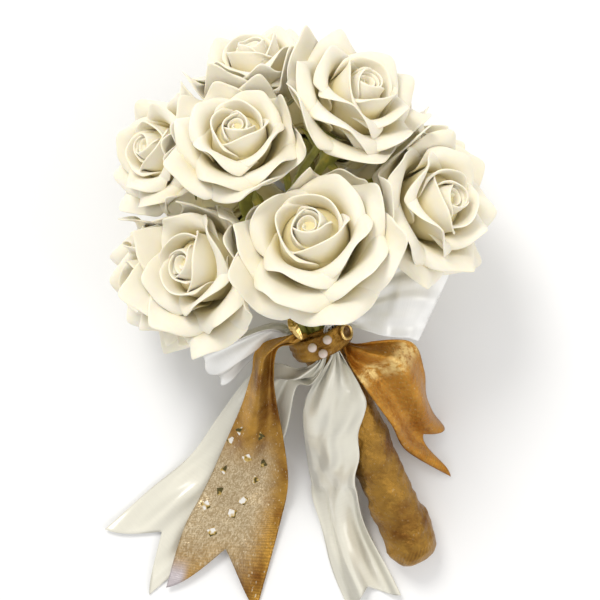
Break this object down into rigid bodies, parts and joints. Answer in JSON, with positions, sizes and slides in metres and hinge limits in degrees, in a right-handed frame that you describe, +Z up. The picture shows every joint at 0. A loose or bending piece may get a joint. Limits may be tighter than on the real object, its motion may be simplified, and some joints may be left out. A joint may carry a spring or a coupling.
{
  "type": "rose bouquet",
  "caption": "Round hand-tied bouquet of cream foam roses on a gold-wrapped handle, with an ivory satin bow and long satin and gold ribbon tails.",
  "frame": {"origin": "middle of the bouquet's box, on the surface it lies on", "axes": "+Z up from the surface; +Y from the handle to the blooms, with the bouquet lying on its side"},
  "size_m": [0.2022, 0.3099, 0.1584],
  "materials": {
    "cream_foam": "soft matte foam sheet",
    "stem_green": "matte green plastic and tape",
    "ivory_satin": "glossy satin ribbon",
    "gold_ribbon": "metallic gold ribbon with square sequins",
    "gold_metal": "polished gold-coloured metal",
    "pearl": "glossy pearl bead"
  },
  "bodies": {
    "root": {"gold_leaf": "gold_metal", "gold_ring": "gold_metal", "gold_tail_left": "gold_ribbon", "gold_tail_right": "gold_ribbon", "handle_wrap": "gold_ribbon", "knot_band": "gold_ribbon", "pearl_bead_1": "pearl", "pearl_bead_2": "pearl", "pearl_bead_3": "pearl", "rose_back_left": "cream_foam", "rose_back_right": "cream_foam", "rose_back_top": "cream_foam", "rose_far_left": "cream_foam", "rose_front": "cream_foam", "rose_left": "cream_foam", "rose_low_left": "cream_foam", "rose_right": "cream_foam", "rose_side_right": "cream_foam", "rose_side_top": "cream_foam", "rose_top": "cream_foam", "rose_upper_left": "cream_foam", "rose_upper_right": "cream_foam", "satin_loop_left": "ivory_satin", "satin_loop_right": "ivory_satin", "satin_tail_centre": "ivory_satin", "satin_tail_left": "ivory_satin", "stem_back_left": "stem_green", "stem_back_right": "stem_green", "stem_back_top": "stem_green", "stem_far_left": "stem_green", "stem_front": "stem_green", "stem_left": "stem_green", "stem_low_left": "stem_green", "stem_right": "stem_green", "stem_side_right": "stem_green", "stem_side_top": "stem_green", "stem_top": "stem_green", "stem_upper_left": "stem_green", "stem_upper_right": "stem_green"}
  },
  "joints": []
}
